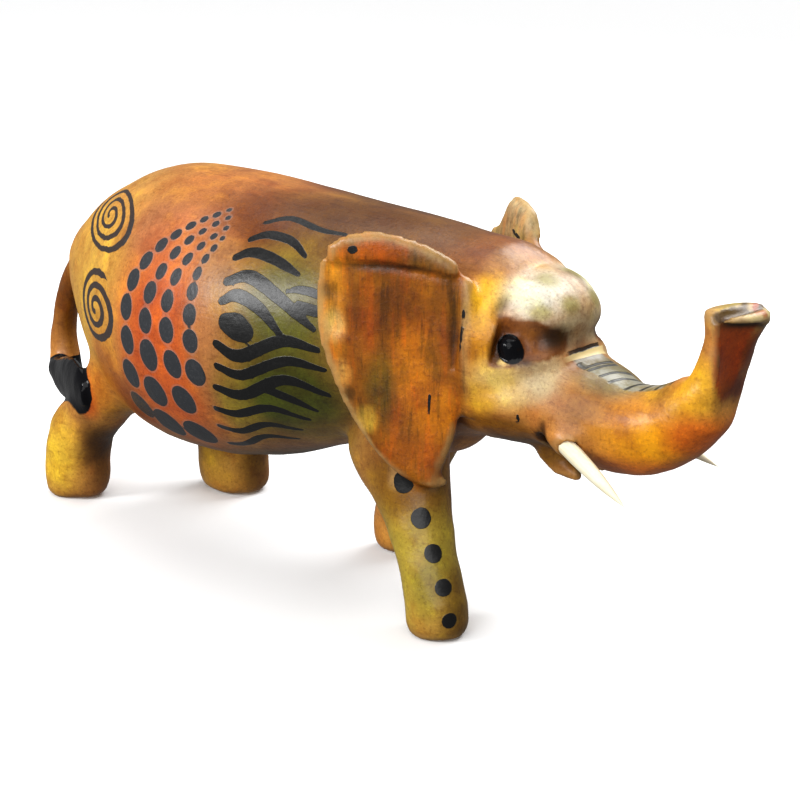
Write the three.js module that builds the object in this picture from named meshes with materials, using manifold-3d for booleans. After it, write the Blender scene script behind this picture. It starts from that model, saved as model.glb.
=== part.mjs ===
// Carved wooden elephant, walking with its trunk raised: one block of wood and two inset tusks.
// Millimetres, +X forward (the head), +Y the elephant's left, +Z up, origin under the middle of its box.
import * as THREE from "three";
import { ParametricGeometry } from "three/addons/geometries/ParametricGeometry.js";
import { mergeVertices } from "three/addons/utils/BufferGeometryUtils.js";
import Module from "manifold-3d";

const wasm = await Module();
wasm.setup();

// ---------------------------------------------------------------- driving dimensions

const SIDE = { right: -1, left: 1 };

// Torso and head, from the rump to the brow: x, z of the middle, half width, half height.
const TORSO = [
  [-108, 79.5, 2, 3],
  [-104.5, 79, 9.5, 11.5],
  [-98, 77.3, 14.5, 20],
  [-88, 75.2, 20.5, 29],
  [-76, 72.7, 26.8, 37],
  [-60, 70.3, 34.3, 42.5],
  [-42, 69, 39.5, 43.6],
  [-20, 70, 41, 42],
  [2, 72.7, 39, 37.6],
  [24, 75.5, 33.5, 33],
  [42, 76.7, 28, 30.5],
  [54, 77.3, 25, 28.7],
  [64, 78.2, 23.5, 26.8],
  [74, 78.7, 23, 24.8],
  [82, 80, 20.5, 20.5],
  [88, 82.3, 15, 13.5],
  [91.5, 84, 8, 7],
];

// Cheeks and trunk, from inside the head to the tip.
const TRUNK = [
  [58, 68, 19, 15],
  [72, 67, 21.5, 16],
  [84, 66.3, 20.8, 14],
  [91, 65.2, 18.8, 12.2],
  [99, 62.6, 16.2, 12.8],
  [106, 61, 13.6, 12.2],
  [114.5, 61.8, 11.7, 11.6],
  [123, 65.6, 10.4, 10.2],
  [129.8, 72.4, 9.2, 8.5],
  [134, 80.5, 8, 7],
  [136.6, 88.5, 7.6, 6.6],
  [137.4, 94.5, 8.6, 7.8],
  [137.4, 98.4, 8.6, 7.8],
];

// Breast between the front legs.
const CHEST = [
  [14, 62, 18, 12],
  [30, 58, 18, 15],
  [46, 55.5, 15.5, 14],
  [61, 57, 13.5, 11],
];

// The pointed lower lip under the mouth.
const LIP = [
  [78, 59, 13, 7],
  [86, 55, 11, 4.5],
  [90.5, 50.5, 9, 3.2],
  [95, 47.2, 7, 2.4],
];

// Legs, from inside the body to the sole: x, y (outwards), z, half width in Y, half depth in X.
const LEGS = {
  right_front: [
    [38, 12, 66, 12, 18],
    [43.3, 17, 49, 10.5, 18.6],
    [49, 18.5, 38, 9.5, 13.4],
    [55, 21, 27.5, 8.8, 9.6],
    [60, 23.3, 18, 8.2, 8.4],
    [63.6, 24.5, 8, 8.5, 9.2],
    [63.8, 24.6, 2, 8.3, 9],
    [63.8, 24.6, -2, 6.5, 7],
  ],
  left_front: [
    [32, 12, 68, 12, 18],
    [24, 17.5, 46, 11, 15],
    [17, 18.5, 25, 9, 10.5],
    [14.2, 17.5, 10, 8.5, 9.3],
    [14.2, 17.5, 2, 8.3, 9.1],
    [14.2, 17.5, -2, 6.5, 7.2],
  ],
  right_rear: [
    [-62, 12, 66, 12, 16],
    [-73.5, 14.5, 47, 11.5, 12],
    [-85.5, 14.8, 33.5, 9.6, 9.6],
    [-95, 14.3, 24.5, 9.6, 11],
    [-99.3, 14, 16, 9.6, 12],
    [-100.3, 14, 7, 9.7, 12.2],
    [-100, 14, 2, 9, 11.4],
    [-99.5, 14, -2, 6.6, 8.6],
  ],
  left_rear: [
    [-60, 14, 66, 14, 19],
    [-63, 20, 43, 14, 18],
    [-65.5, 23.5, 22, 11.5, 13.5],
    [-66, 24, 9, 11, 13.2],
    [-66, 24, 2, 10.6, 12.8],
    [-66, 24, -2, 8.2, 10.2],
  ],
};

// Tail with its tuft, and the web of wood that ties the tuft to the right thigh.
const TAIL = [
  [-90, 0, 84, 8, 6],
  [-102, 0, 80.5, 6, 4.8],
  [-111, 0, 73, 4.8, 4.5],
  [-118, 0, 62.5, 4.2, 4.2],
  [-121.7, 0, 51, 4.2, 4.3],
  [-121.8, 0, 41, 5, 5.6],
  [-118, -1, 32, 4.8, 5.4],
  [-111.5, -2, 24.5, 2.4, 2.6],
];
const WEB = [
  [-116, -1, 34, 3, 6],
  [-106, -5, 33, 3, 6.5],
  [-92, -10, 34, 4, 7],
];

// Ear: its root on the neck, how far its plate swings out from the body, and its outline as
// distance from the root and height, in order round the rim.
const EAR_ROOTS = {
  right: { x: 66.5, y: 22, flare: 32 },
  left: { x: 62, y: 22, flare: 32 },
};
const EAR_OUTLINE = [
  [-4, 97],
  [2, 103.5],
  [11, 107],
  [18, 108.5],
  [25, 108.3],
  [31, 106],
  [35, 101],
  [36, 92],
  [35.5, 82],
  [33, 73.5],
  [28.5, 63.5],
  [20.8, 52],
  [14, 44.8],
  [8.8, 42.4],
  [4.3, 40.2],
  [2.5, 45],
  [-1.5, 56],
  [-3, 70],
  [-4, 84],
];
const EAR_MIDDLE = [16, 78];
const EAR_THICK = 5;
const EAR_DISH = 1.6;

// Tusk: a straight cone that narrows faster towards its tip, with a round peg in a drilled socket.
const TUSK = {
  base: [97.5, 15.5, 58.8],
  direction: [0.82, 0.2, -0.37],
  length: 27,
  radius: 2.3,
  pegRadius: 1.9,
  pegLength: 9,
  gap: 0.3,
  fineness: [0, 0.25, 0.45, 0.6, 0.75, 0.87, 0.95],
  bluntness: 2.6,
};

// How finely each loft is divided along and around, and the share of its length that rounds off an end.
const LOFTS = {
  torso: { rows: 38, around: 40, roundStart: 0.03, roundEnd: 0.06 },
  trunk: { rows: 26, around: 24, roundEnd: 0.04 },
  chest: { rows: 10, around: 24, roundEnd: 0.25 },
  lip: { rows: 8, around: 16, roundEnd: 0.1 },
  leg: { rows: 14, around: 18, roundStart: 0.2 },
  tail: { rows: 18, around: 12, roundEnd: 0.1 },
  web: { rows: 4, around: 12 },
};
const EAR_AROUND = 38;
const EAR_ACROSS = 10;
const TUSK_SIDES = 16;
const WELD = 1e-3;

const WOOD = { color: 0xa8621c, roughness: 0.42, metalness: 0 };
const IVORY = { color: 0xefe4c4, roughness: 0.35, metalness: 0 };

// ---------------------------------------------------------------- solids

// A closed three.js geometry as a solid that manifold-3d can join and cut.
function solid(geometry) {
  geometry.deleteAttribute("normal");
  geometry.deleteAttribute("uv");
  const merged = mergeVertices(geometry, WELD);
  const points = merged.attributes.position;
  const corners = [];
  let volume = 0;
  const [a, b, c] = [new THREE.Vector3(), new THREE.Vector3(), new THREE.Vector3()];
  for (let i = 0; i < merged.index.count; i += 3) {
    const [p, q, r] = [0, 1, 2].map((k) => merged.index.getX(i + k));
    if (p === q || q === r || r === p) continue;
    corners.push(p, q, r);
    a.fromBufferAttribute(points, p);
    b.fromBufferAttribute(points, q);
    c.fromBufferAttribute(points, r);
    volume += a.dot(b.cross(c));
  }
  if (volume < 0) corners.reverse();
  return new wasm.Manifold(
    new wasm.Mesh({
      numProp: 3,
      vertProperties: new Float32Array(points.array),
      triVerts: new Uint32Array(corners),
    }),
  );
}

// A solid back as a three.js geometry.
function geometryOf(body) {
  const mesh = body.getMesh();
  const geometry = new THREE.BufferGeometry();
  geometry.setAttribute("position", new THREE.BufferAttribute(mesh.vertProperties, 3));
  geometry.setIndex(new THREE.BufferAttribute(mesh.triVerts, 1));
  geometry.computeVertexNormals();
  return geometry;
}

// Places along a loft: t runs along its stations, and scale draws the two ends in to a point,
// over a rounded stretch or as a flat cap where roundness is 0.
function loftRows(rows, roundStart, roundEnd) {
  const places = [{ t: 0, scale: 0 }];
  for (let i = 0; i <= rows; i++) {
    const t = i / rows;
    const near = roundStart > 0 ? Math.min(1, t / roundStart) : 1;
    const far = roundEnd > 0 ? Math.min(1, (1 - t) / roundEnd) : 1;
    const scale = Math.sqrt(1 - (1 - near) ** 2) * Math.sqrt(1 - (1 - far) ** 2);
    if (scale > 0) places.push({ t, scale });
  }
  places.push({ t: 1, scale: 0 });
  return places;
}

// A closed loft through oval sections set square to a smooth spine.
// Each station is x, y, z, half width (sideways) and half height (in the plane of the spine).
function loft(stations, { rows, around, roundStart = 0, roundEnd = 0 }) {
  const spine = new THREE.CatmullRomCurve3(
    stations.map(([x, y, z]) => new THREE.Vector3(x, y, z)), false, "catmullrom", 0.5);
  const sizes = new THREE.CatmullRomCurve3(
    stations.map(([, , , wide, high]) => new THREE.Vector3(wide, high, 0)), false, "catmullrom", 0.5);
  const places = loftRows(rows, roundStart, roundEnd);
  const sideways = new THREE.Vector3(0, 1, 0);
  const point = (u, v, target) => {
    const { t, scale } = places[Math.round(v * (places.length - 1))];
    const along = spine.getTangent(t);
    const wide = sideways.clone().addScaledVector(along, -sideways.dot(along)).normalize();
    const high = new THREE.Vector3().crossVectors(along, wide);
    const size = sizes.getPoint(t);
    const turn = 2 * Math.PI * u;
    target.copy(spine.getPoint(t));
    target.addScaledVector(wide, scale * size.x * Math.cos(turn));
    target.addScaledVector(high, scale * size.y * Math.sin(turn));
  };
  return solid(new ParametricGeometry(point, around, places.length - 1));
}

const onMiddle = (stations) => stations.map(([x, z, wide, high]) => [x, 0, z, wide, high]);

function torso() {
  return loft(onMiddle(TORSO), LOFTS.torso);
}

function trunk() {
  return loft(onMiddle(TRUNK), LOFTS.trunk);
}

function chest() {
  return loft(onMiddle(CHEST), LOFTS.chest);
}

function lip() {
  return loft(onMiddle(LIP), LOFTS.lip);
}

function leg(name) {
  const side = name.startsWith("right") ? SIDE.right : SIDE.left;
  const stations = LEGS[name].map(([x, y, z, wide, deep]) => [x, side * y, z, wide, deep]);
  return loft(stations, LOFTS.leg);
}

function tail() {
  return loft(TAIL, LOFTS.tail).add(loft(WEB, LOFTS.web));
}

// A dished plate with a rounded rim, made as a flattened ball whose equator is the ear's outline.
function ear(name) {
  const side = SIDE[name];
  const root = EAR_ROOTS[name];
  const rim = new THREE.CatmullRomCurve3(
    EAR_OUTLINE.map(([u, z]) => new THREE.Vector3(u, z, 0)), true, "catmullrom", 0.5);
  const flare = THREE.MathUtils.degToRad(root.flare);
  const [middleOut, middleUp] = EAR_MIDDLE;
  const point = (u, v, target) => {
    const onRim = rim.getPoint(u % 1);
    const turn = Math.PI * v;
    const spread = Math.sqrt(Math.sin(turn));
    const face = Math.sign(Math.cos(turn)) * Math.sqrt(Math.abs(Math.cos(turn)));
    const out = middleOut + spread * (onRim.x - middleOut);
    const up = middleUp + spread * (onRim.y - middleUp);
    const dish = EAR_DISH * (1 - spread ** 2);
    const off = (face * EAR_THICK) / 2 - dish;
    const x = root.x - out * Math.cos(flare) + off * Math.sin(flare);
    const y = root.y + out * Math.sin(flare) + off * Math.cos(flare);
    target.set(x, side * y, up);
  };
  return solid(new ParametricGeometry(point, EAR_AROUND, EAR_ACROSS));
}

// A turned cone along its own axis, laid from the tusk's base towards its tip.
function turned(profile, side) {
  const [x, y, z] = TUSK.base;
  const [dx, dy, dz] = TUSK.direction;
  const geometry = new THREE.LatheGeometry(
    profile.map(([r, s]) => new THREE.Vector2(r, s)), TUSK_SIDES);
  const along = new THREE.Vector3(dx, side * dy, dz).normalize();
  geometry.applyQuaternion(
    new THREE.Quaternion().setFromUnitVectors(new THREE.Vector3(0, 1, 0), along));
  geometry.translate(x, side * y, z);
  return solid(geometry);
}

function tusk(side) {
  const { length, radius, pegRadius, pegLength, fineness, bluntness } = TUSK;
  const taper = fineness.map((s) => [radius * (1 - s ** bluntness), s * length]);
  return turned([[0, -pegLength], [pegRadius, -pegLength], [pegRadius, 0], ...taper, [0, length]], side);
}

function socket(side) {
  const { radius, pegRadius, pegLength, gap, length } = TUSK;
  const wide = pegRadius + gap;
  return turned([[0, -pegLength - gap], [wide, -pegLength - gap], [wide, -gap], [radius + gap, -gap],
    [radius + gap, length / 2], [0, length / 2]], side);
}

function aboveFloor() {
  const room = 400;
  return solid(new THREE.BoxGeometry(room, room, room).translate(0, 0, room / 2));
}

function carvedBody() {
  let body = torso().add(chest()).add(trunk()).add(lip()).add(tail());
  for (const name of Object.keys(LEGS)) body = body.add(leg(name));
  for (const name of Object.keys(SIDE)) body = body.add(ear(name));
  for (const side of Object.values(SIDE)) body = body.subtract(socket(side));
  return body.intersect(aboveFloor());
}

// ---------------------------------------------------------------- assembly

function piece(name, body, finish) {
  const mesh = new THREE.Mesh(geometryOf(body), new THREE.MeshStandardMaterial(finish));
  mesh.name = name;
  return mesh;
}

const elephant = new THREE.Group();
elephant.add(piece("carved_body", carvedBody(), WOOD));
for (const [name, side] of Object.entries(SIDE)) elephant.add(piece("tusk_" + name, tusk(side), IVORY));

// The origin is under the middle of the object's box.
const box = new THREE.Box3().setFromObject(elephant);
const middle = box.getCenter(new THREE.Vector3());
elephant.position.set(-middle.x, -middle.y, -box.min.z);

export default elephant;
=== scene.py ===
"""Carved wooden elephant: the carved and painted body, two inset tusks, a pale studio floor."""

import math

import bpy
import numpy as np
import openvdb as vdb
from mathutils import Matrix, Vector
from mathutils.bvhtree import BVHTree


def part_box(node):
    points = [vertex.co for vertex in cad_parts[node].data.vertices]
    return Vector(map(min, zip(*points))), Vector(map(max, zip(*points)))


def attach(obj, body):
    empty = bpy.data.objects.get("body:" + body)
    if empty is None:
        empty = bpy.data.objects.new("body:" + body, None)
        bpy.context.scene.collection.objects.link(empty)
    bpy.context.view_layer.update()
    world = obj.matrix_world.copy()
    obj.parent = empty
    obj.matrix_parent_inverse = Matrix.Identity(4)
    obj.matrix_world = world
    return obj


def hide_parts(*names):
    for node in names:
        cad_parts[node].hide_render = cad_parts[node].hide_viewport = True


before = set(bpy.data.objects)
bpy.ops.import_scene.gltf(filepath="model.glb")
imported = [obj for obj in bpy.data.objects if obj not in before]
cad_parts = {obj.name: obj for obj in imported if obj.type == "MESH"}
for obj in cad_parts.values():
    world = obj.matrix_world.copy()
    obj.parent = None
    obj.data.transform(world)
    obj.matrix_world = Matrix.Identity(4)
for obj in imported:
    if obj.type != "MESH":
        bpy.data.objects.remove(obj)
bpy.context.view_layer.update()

# The carver's millimetres: x is TUSK_TIP_X at the tusk tips and grows forward, y is 0 on the middle
# plane (the elephant's right side is negative), z is 0 on the floor.
MM = 0.001
TUSK_TIP_X = 121.5
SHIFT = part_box("tusk_right")[1].x / MM - TUSK_TIP_X
# Spacing of the grid that the wood is carved on.
CELL = 1.0


def metres(x, y, z):
    """A place given in the carver's millimetres."""
    return Vector(((x + SHIFT) * MM, y * MM, z * MM))


# ---------------------------------------------------------------- the block of wood

class Block:
    """Wood as distances in mm to its surface, negative inside, on a regular grid."""

    def __init__(self, node, cell, margin):
        mesh = node.data
        points = np.empty(len(mesh.vertices) * 3, np.float32)
        mesh.vertices.foreach_get("co", points)
        points = points.reshape(-1, 3) / MM
        points[:, 0] -= SHIFT
        mesh.calc_loop_triangles()
        corners = np.empty(len(mesh.loop_triangles) * 3, np.int32)
        mesh.loop_triangles.foreach_get("vertices", corners)
        grid = vdb.FloatGrid.createLevelSetFromPolygons(
            points.astype(np.float32),
            triangles=corners.reshape(-1, 3).astype(np.uint32),
            transform=vdb.createLinearTransform(cell),
            halfWidth=12.0,
        )
        self.cell = cell
        self.low = np.floor((points.min(0) - margin) / cell).astype(int)
        high = np.ceil((points.max(0) + margin) / cell).astype(int)
        self.far = np.zeros(high - self.low + 1, np.float32)
        grid.copyToArray(self.far, ijk=tuple(int(i) for i in self.low))

    def window(self, low, high):
        """The grid cells between two corners in mm, and the coordinates of their points."""
        size = np.array(self.far.shape)
        start = np.clip(np.floor(np.array(low) / self.cell).astype(int) - self.low, 0, size)
        stop = np.clip(np.ceil(np.array(high) / self.cell).astype(int) + 1 - self.low, 0, size)
        axes = [
            (np.arange(a, b, dtype=np.float32) + o) * np.float32(self.cell)
            for a, b, o in zip(start, stop, self.low)
        ]
        x, y, z = np.meshgrid(*axes, indexing="ij")
        return tuple(slice(a, b) for a, b in zip(start, stop)), (x, y, z)

    def whole(self):
        """The coordinates of every grid point."""
        corner = self.low * self.cell
        return self.window(corner, corner + np.array(self.far.shape) * self.cell)[1]

    def add(self, shape, low, high, blend=1.0):
        cells, place = self.window(low, high)
        self.far[cells] = joined(self.far[cells], shape(*place), blend)

    def cut(self, shape, low, high, blend=1.0):
        cells, place = self.window(low, high)
        self.far[cells] = -joined(-self.far[cells], shape(*place), blend)

    def softened(self, sigma):
        """The distances after a Gaussian blur of sigma mm, which rounds edges and facets off."""
        reach = int(math.ceil(2.5 * sigma / self.cell))
        taps = np.exp(-0.5 * (np.arange(-reach, reach + 1) * self.cell / sigma) ** 2)
        taps = (taps / taps.sum()).astype(np.float32)
        out = self.far
        for axis in range(3):
            length = out.shape[axis]
            wide = np.pad(out, [(reach, reach) if a == axis else (0, 0) for a in range(3)], mode="edge")
            total = np.zeros_like(out)
            for i, tap in enumerate(taps):
                part = [slice(None)] * 3
                part[axis] = slice(i, i + length)
                total += tap * wide[tuple(part)]
            out = total
        return out

    def surface(self):
        """Points in mm and quads of the surface."""
        grid = vdb.FloatGrid(background=float(10 * self.cell))
        grid.transform = vdb.createLinearTransform(self.cell)
        grid.copyFromArray(self.far.astype(np.float32), ijk=tuple(int(i) for i in self.low))
        points, faces = grid.convertToQuads(0.0)
        return np.array(points, float), np.array(faces)

    def sample(self, values, points):
        """Values on the grid at points in mm, linear between grid points."""
        place = points / self.cell - self.low
        first = np.clip(np.floor(place).astype(int), 0, np.array(self.far.shape) - 2)
        part = np.clip(place - first, 0, 1)
        total = np.zeros(len(points))
        for corner in np.ndindex(2, 2, 2):
            weight = np.prod(np.where(corner, part, 1 - part), axis=1)
            i, j, k = (first + corner).T
            total += weight * values[i, j, k]
        return total


def joined(a, b, blend):
    """The union of two distances, filleted over about blend mm."""
    h = np.clip(0.5 + 0.5 * (b - a) / blend, 0, 1)
    return b * (1 - h) + a * h - blend * h * (1 - h)


def rod(stations):
    """A round rod through stations of (x, y, z, radius)."""
    stations = np.array(stations, np.float32)

    def distance(x, y, z):
        best = None
        for (ax, ay, az, ar), (bx, by, bz, br) in zip(stations[:-1], stations[1:]):
            dx, dy, dz = bx - ax, by - ay, bz - az
            t = ((x - ax) * dx + (y - ay) * dy + (z - az) * dz) / (dx * dx + dy * dy + dz * dz)
            t = np.clip(t, 0, 1)
            far = np.sqrt((x - ax - t * dx) ** 2 + (y - ay - t * dy) ** 2 + (z - az - t * dz) ** 2)
            far = far - (ar + t * (br - ar))
            best = far if best is None else np.minimum(best, far)
        return best

    return distance


def egg(centre, radii):
    """An ellipsoid with its axes along x, y and z."""

    def distance(x, y, z):
        p = [(v - c) / r for v, c, r in zip((x, y, z), centre, radii)]
        near = np.sqrt(sum(v * v for v in p)) + 1e-6
        slope = np.sqrt(sum((v / r) ** 2 for v, r in zip(p, radii))) + 1e-6
        return near * (near - 1) / slope

    return distance


FAR_INSIDE = -9.0


def below(shape, point, normal):
    """The part of a shape on the side of a plane that its normal points away from."""
    def distance(x, y, z):
        over = (x - point[0]) * normal[0] + (y - point[1]) * normal[1] + (z - point[2]) * normal[2]
        return np.maximum(shape(x, y, z), over)

    return distance


def curve(stations, steps=5):
    """Stations along a smooth curve through the given ones."""
    given = np.array(stations, float)
    ends = np.concatenate([[2 * given[0] - given[1]], given, [2 * given[-1] - given[-2]]])
    made = []
    for p, a, b, q in zip(ends[:-3], ends[1:-2], ends[2:-1], ends[3:]):
        for t in np.arange(steps) / steps:
            made.append(a + 0.5 * t * (b - p + t * (2 * p - 5 * a + 4 * b - q + t * (3 * (a - b) + q - p))))
    made.append(given[-1])
    return [tuple(station) for station in made]


def on_both_sides(shape):
    """The same shape on the elephant's left as on its right."""
    return lambda x, y, z: shape(x, -np.abs(y), z)


# ---------------------------------------------------------------- carving

EAR_FLARE = math.radians(32)
EAR_ROOT_X = {-1: 66.5, 1: 62.0}
EAR_ROOT_Y = 22.0
AXIS_Z = 70.0


def ear_place(x, y, z, side):
    """Distance out along an ear's plate, height, and distance in front of its middle."""
    dx = x - EAR_ROOT_X[side]
    dy = side * y - EAR_ROOT_Y
    out = dy * math.sin(EAR_FLARE) - dx * math.cos(EAR_FLARE)
    return out, z, dx * math.sin(EAR_FLARE) + dy * math.cos(EAR_FLARE)


def on_ear(shape, side):
    """A shape given as distance out along the ear, height and distance in front of its plate."""
    def distance(x, y, z):
        out, height, front = ear_place(x, y, z, side)
        return shape(out, front, height)

    return distance


def smooth_all(block):
    """Soften the torso and legs more than the ears and the face."""
    x, y, z = block.whole()
    fine = block.softened(0.9)
    soft = block.softened(2.4)
    head = np.clip((x - 52) / 12, 0, 1)
    ears = np.clip((np.abs(y) - 16) / 6, 0, 1) * np.clip((x - 26) / 8, 0, 1) * np.clip((z - 38) / 4, 0, 1)
    tail = np.clip((-96 - x) / 6, 0, 1)
    keep = np.maximum(np.maximum(head, ears), tail)
    block.far = keep * fine + (1 - keep) * soft


# How far the front of an ear stands off the middle of its plate.
EAR_FACE = 1.3


def ear_crease(out):
    """Height of the crease under the folded top band, at a distance out along the ear."""
    return 97.6 + 3.4 * np.clip(out / 18, 0, 1)


def ear_bevel(out, front, height):
    """Distance to the wood pared away along the rear edge of an ear."""
    start = 26.5 - 0.31 * np.clip(80 - height, 0, 40)
    return 0.95 * (EAR_FACE - 0.32 * (out - start) - front)


def carve_ears(block):
    """A flat band folded forward along the top, a crease under it, a pared rear edge, dents and a root."""
    crease = rod(curve([(-1, 1.9, 97.6, 0.7), (9, 2, 99.2, 1.0), (18, 2, 100.6, 1.1), (32, 1.9, 100.8, 0.7)]))
    rim = rod(curve([(33.4, -1.6, 99, 1.5), (34.4, -1.6, 90, 1.6), (33.8, -1.6, 81, 1.6),
                     (30.4, -1.6, 69.5, 1.6), (25.4, -1.4, 59.5, 1.5), (17.7, -1.2, 49.5, 1.4),
                     (10.5, -0.8, 44, 1.3), (2.0, -0.6, 42.2, 0.9)]))
    root = rod(curve([(-4, 0.6, 96, 1.6), (-4.6, 1.4, 86, 2.2), (-5, 1.4, 74, 2), (-4.8, 0.4, 62, 0.8)]))
    fold = rod(curve([(-0.8, 2.2, 97, 0.7), (-1.0, 2.0, 84, 1.1), (-0.4, 1.8, 74, 0.7)]))
    dents = [((31.5, 1.6, 93), (3, 2, 3)), ((31, 1.8, 84), (3, 2.6, 4)), ((27.5, 2.2, 65.5), (2.6, 2.2, 3)),
             ((14, 6.4, 80), (9, 4.6, 15)), ((9, 5, 61), (6, 3, 10)), ((21, 5.2, 68), (5, 3.6, 13))]
    trimmed_corners = [(-3.5, 109.5, 13), (37, 110, 12)]
    for side in (-1, 1):
        low = (20, min(side * 14, side * 54), 36)
        high = (80, max(side * 14, side * 54), 114)
        block.add(on_ear(rim, side), low, high, 3.0)
        block.add(on_ear(root, side), low, high, 3.0)
        block.cut(on_ear(ear_bevel, side), low, high, 0.8)
        cells, place = block.window(low, high)
        out, height, front = ear_place(*place, side)
        wood = block.far[cells]
        band = np.maximum(np.maximum(wood - 0.8, ear_crease(out) - height), -0.5 - front)
        band = np.maximum(np.maximum(band, out - 35), -1.5 - out)
        block.far[cells] = joined(wood, band, 0.3)
        block.cut(on_ear(crease, side), low, high, 0.6)
        block.cut(on_ear(fold, side), low, high, 1.2)
        if side > 0:
            for out, height, radius in trimmed_corners:
                round_cut = rod([(out, -9, height, radius), (out, 9, height, radius)])
                block.cut(on_ear(round_cut, side), low, high, 2.0)
        for centre, radii in dents:
            block.cut(on_ear(egg(centre, radii), side), low, high, 1.0)


def across(shape, half_width):
    """A shape given in the middle plane, carried sideways to half_width on both sides."""
    return lambda x, y, z: np.maximum(shape(x, 0 * y, z), np.abs(y) - half_width)


# A wedge under the brow: a flat ceiling that slopes down towards the trunk, a flat rear wall and a ledge,
# each a point of the plane and the way it faces.
SOCKET_BOWL = rod([(80.6, -26, 84.4, 9.0), (86.8, -22.6, 84.3, 8.4), (90.6, -15.8, 83.9, 5.9),
                   (93.2, -9, 82.6, 2.8)])
DEEP_BOWL = rod([(80.6, 26, 84.4, 11.5), (86.8, 22.6, 84.3, 10.9), (90.6, 15.8, 83.9, 7.4),
                 (93.2, 9, 82.6, 3.2)])
SOCKET_CEILING = ((85.5, -12.2, 87.4), (0.29, 0.27, 0.92))
SOCKET_WALL = ((79.2, -20.6, 82.5), (-0.92, -0.36, 0.15))
SOCKET_LEDGE = ((84, -18, 77.3), (0.16, 0.12, -0.98))
LEFT_LEDGE = ((84, -18, 75.6), (0.16, 0.12, -0.98))


def everywhere(x, y, z):
    """A shape without a surface, for planes to cut."""
    return FAR_INSIDE + 0 * x


def wedge(shape, ledge):
    """The part of a shape between the socket's ceiling, its rear wall and a ledge."""
    return below(below(below(shape, *SOCKET_CEILING), *SOCKET_WALL), *ledge)


def left_socket(x, y, z):
    """The left socket, cut deeper than the right one inside the same edges."""
    return np.maximum(DEEP_BOWL(x, y, z), wedge(everywhere, LEFT_LEDGE)(x, -y, z))


EYE_SOCKET = on_both_sides(wedge(SOCKET_BOWL, SOCKET_LEDGE))
LEFT_EYE_IN = 3.0
RIGHT_EYE = rod([(81.2, -16.9, 80.9, 2.9), (82.2, -16, 78, 3.0)])


def eyes(x, y, z):
    """Both eyes; the carver set the left one deeper."""
    return RIGHT_EYE(x, np.where(y > 0, -y - LEFT_EYE_IN, y), z)


TEMPLE_GROOVE = on_both_sides(rod(curve([(74.2, -11.8, 100.6, 0.6), (77.2, -14.8, 97.0, 1.9),
                                         (78.8, -17.2, 93.6, 2.1), (79.2, -19.4, 89.6, 1.9)])))
MOUTH_SLOT = across(rod(curve([(91.4, 0, 58.6, 1.2), (95.2, 0, 53.6, 2.1), (99.6, 0, 49.4, 3.0)])), 19.0)
MOUTH_CORNER = on_both_sides(rod(curve([(95.4, -19.8, 67.5, 0.5), (93.4, -19.4, 62.4, 1.0),
                                        (91.6, -17.6, 57.4, 1.4)])))
TRUNK_SCOOP = rod(curve([(147.8, -11.3, 94.5, 11.0), (148.0, -7.0, 86.9, 11.0), (147.65, -4.25, 80.1, 11.0),
                         (147.6, -3.5, 72.5, 9.6)]))
TRUNK_SLIT = rod(curve([(133.6, -11, 95.0, 0.9), (137.2, -7.4, 96.4, 1.5), (139.4, -3.8, 97.4, 2.0),
                        (141.0, 0.5, 97.8, 1.8), (141.8, 6, 97.4, 1.2), (141.8, 10, 97.0, 0.8)]))


def carve_face(block):
    """Forehead boss, brow and eye socket, eyes, tusk roots, mouth corners and the lip."""
    low, high = (56, -34, 38), (116, 34, 112)
    block.add(egg((77.0, 0, 87.6), (16.9, 16.2, 11.4)), low, high, 1.6)
    block.cut(TEMPLE_GROOVE, low, high, 1.2)
    block.cut(EYE_SOCKET, low, high, 0.5)
    block.cut(left_socket, (56, 4, 38), high, 0.5)
    block.add(eyes, low, high, 0.6)
    block.cut(rod(curve([(94.6, -8, 80.6, 0.6), (97.4, 0, 81.4, 1.0), (94.6, 8, 80.6, 0.6)])), low, high, 1.0)
    block.add(on_both_sides(rod([(90, -13.0, 62.6, 3.2), (99.4, -15.2, 58.4, 3.5)])), low, high, 4.0)
    lip = rod([(86, -6, 51.6, 2.6), (90.6, -6.5, 48.2, 2.2), (95.4, -6, 46.9, 1.6)])
    block.add(on_both_sides(lip), low, high, 2.0)
    block.cut(MOUTH_SLOT, low, high, 0.6)
    block.cut(MOUTH_CORNER, low, high, 0.8)
    block.cut(on_both_sides(rod([(100.2, -16.1, 57.6, 2.5), (112, -19, 52.2, 2.5)])), low, high, 0.4)


def carve_trunk(block):
    """Two blunt lobes with a slit between them, and a long scoop down the outside of the tip."""
    low, high = (122, -14, 56), (152, 14, 106)
    block.add(rod([(139.0, -5, 94.6, 2.6), (141.6, 0, 95.2, 3.2), (139.0, 5, 94.6, 2.6)]), low, high, 1.2)
    front_hollow = across(rod([(176.6, 0, 70.4, 40.0), (176.6, 1, 70.4, 40.0)]), 14)
    inner_hollow = across(rod([(111.0, 0, 90.5, 19.7), (111.0, 1, 90.5, 19.7)]), 14)
    block.cut(front_hollow, low, (152, 14, 92.5), 1.5)
    block.cut(inner_hollow, (124, -14, 78), (134, 14, 94), 1.5)
    block.cut(TRUNK_SCOOP, low, (152, 14, 93.8), 0.4)
    block.cut(egg((142.5, -1, 101.4), (8.0, 12, 4.4)), low, high, 1.0)
    block.cut(TRUNK_SLIT, low, high, 0.6)


# The leaf-shaped tuft of the tail, swung against the right hind leg, as (share of the way from the tail
# to the leg, height of its middle, half height, half thickness).
TUFT_ROOT = (-119.5, -4.4)
TUFT_TIP = (-83.0, -24.2)
TUFT_LEAF = [(-0.10, 37.0, 2.8, 2.6), (0.0, 37.2, 4.0, 3.6), (0.3, 37.2, 6.9, 3.3), (0.65, 39.4, 7.9, 2.9),
             (0.95, 40.8, 6.6, 2.2), (1.10, 40.0, 3.4, 1.2)]


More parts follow.
